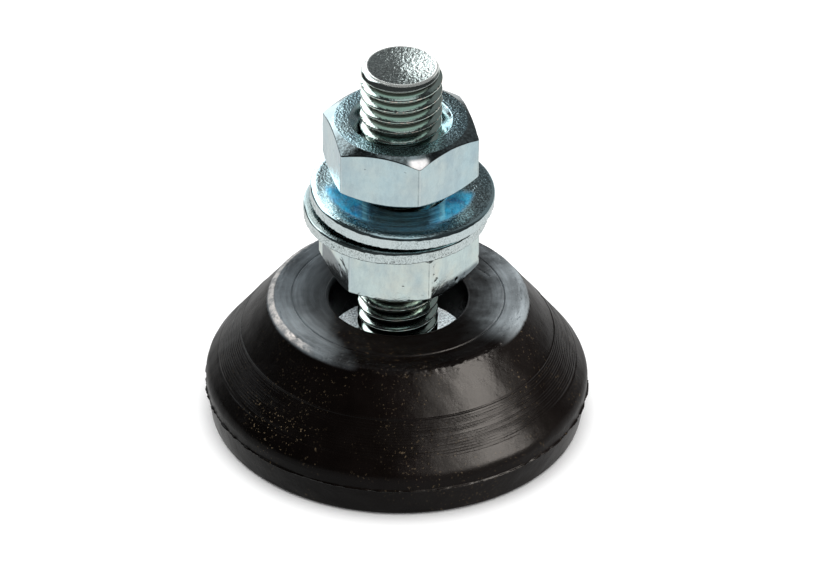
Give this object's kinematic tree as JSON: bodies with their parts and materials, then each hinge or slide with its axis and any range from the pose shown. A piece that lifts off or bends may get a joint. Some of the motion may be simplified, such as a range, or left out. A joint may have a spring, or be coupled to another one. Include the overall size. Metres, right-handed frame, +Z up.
{
  "type": "furniture leveling foot",
  "caption": "Swivelling levelling foot: black rubber base, threaded ball stud, hexagon nuts and plain washers that clamp a bracket.",
  "frame": {"origin": "centre of the sole, on the floor", "axes": "+Z up along the stud; X and Y level"},
  "size_m": [0.047, 0.047, 0.0497],
  "materials": {
    "rubber": "semi-gloss moulded black rubber, rim scuffed grey",
    "zinc_plate": "zinc plated, grainy",
    "zinc_stud": "rolled thread, bright zinc with a greenish passivation",
    "zinc_nut": "satin zinc with a blue passivation",
    "zinc_washer": "bright zinc with a blue passivation, mottled faces",
    "seat_plastic": "natural acetal"
  },
  "bodies": {
    "foot": {"rubber_base": "rubber", "retainer_plate": "zinc_plate", "seat_cup": "zinc_plate"},
    "seat": {"ball_seat": "seat_plastic"},
    "stud": {"levelling_stud": "zinc_stud"},
    "lower_washer": {"lower_washer": "zinc_washer"},
    "lower_nut": {"lower_nut": "zinc_nut"},
    "upper_washer": {"upper_washer": "zinc_washer"},
    "upper_nut": {"upper_nut": "zinc_nut"}
  },
  "joints": [
    {"name": "seat_spin", "type": "hinge", "parent": "foot", "child": "seat", "pos_m": [0, 0, 0.005], "axis": [0, 0, 1], "continuous": true},
    {"name": "stud_tilt", "type": "hinge", "parent": "seat", "child": "stud", "pos_m": [0, 0, 0.005], "axis": [0, 1, 0], "range_deg": [-5, 5]},
    {"name": "lower_washer_lift", "type": "slide", "parent": "stud", "child": "lower_washer", "axis": [0, 0, 1], "range_m": [-0.0034, 0]},
    {"name": "lower_nut_turn", "type": "hinge", "parent": "lower_washer", "child": "lower_nut", "pos_m": [0, 0, 0.025], "axis": [0, 0, 1], "range_deg": [-810, 0]},
    {"name": "upper_washer_lift", "type": "slide", "parent": "stud", "child": "upper_washer", "axis": [0, 0, 1], "range_m": [0, 0.0068]},
    {"name": "upper_nut_turn", "type": "hinge", "parent": "upper_washer", "child": "upper_nut", "pos_m": [0, 0, 0.038], "axis": [0, 0, 1], "range_deg": [0, 1620]}
  ],
  "couplings": [
    {"joint": "lower_washer_lift", "follows": "lower_nut_turn", "m_per_rad": 0.00023873},
    {"joint": "upper_washer_lift", "follows": "upper_nut_turn", "m_per_rad": 0.00023873}
  ]
}
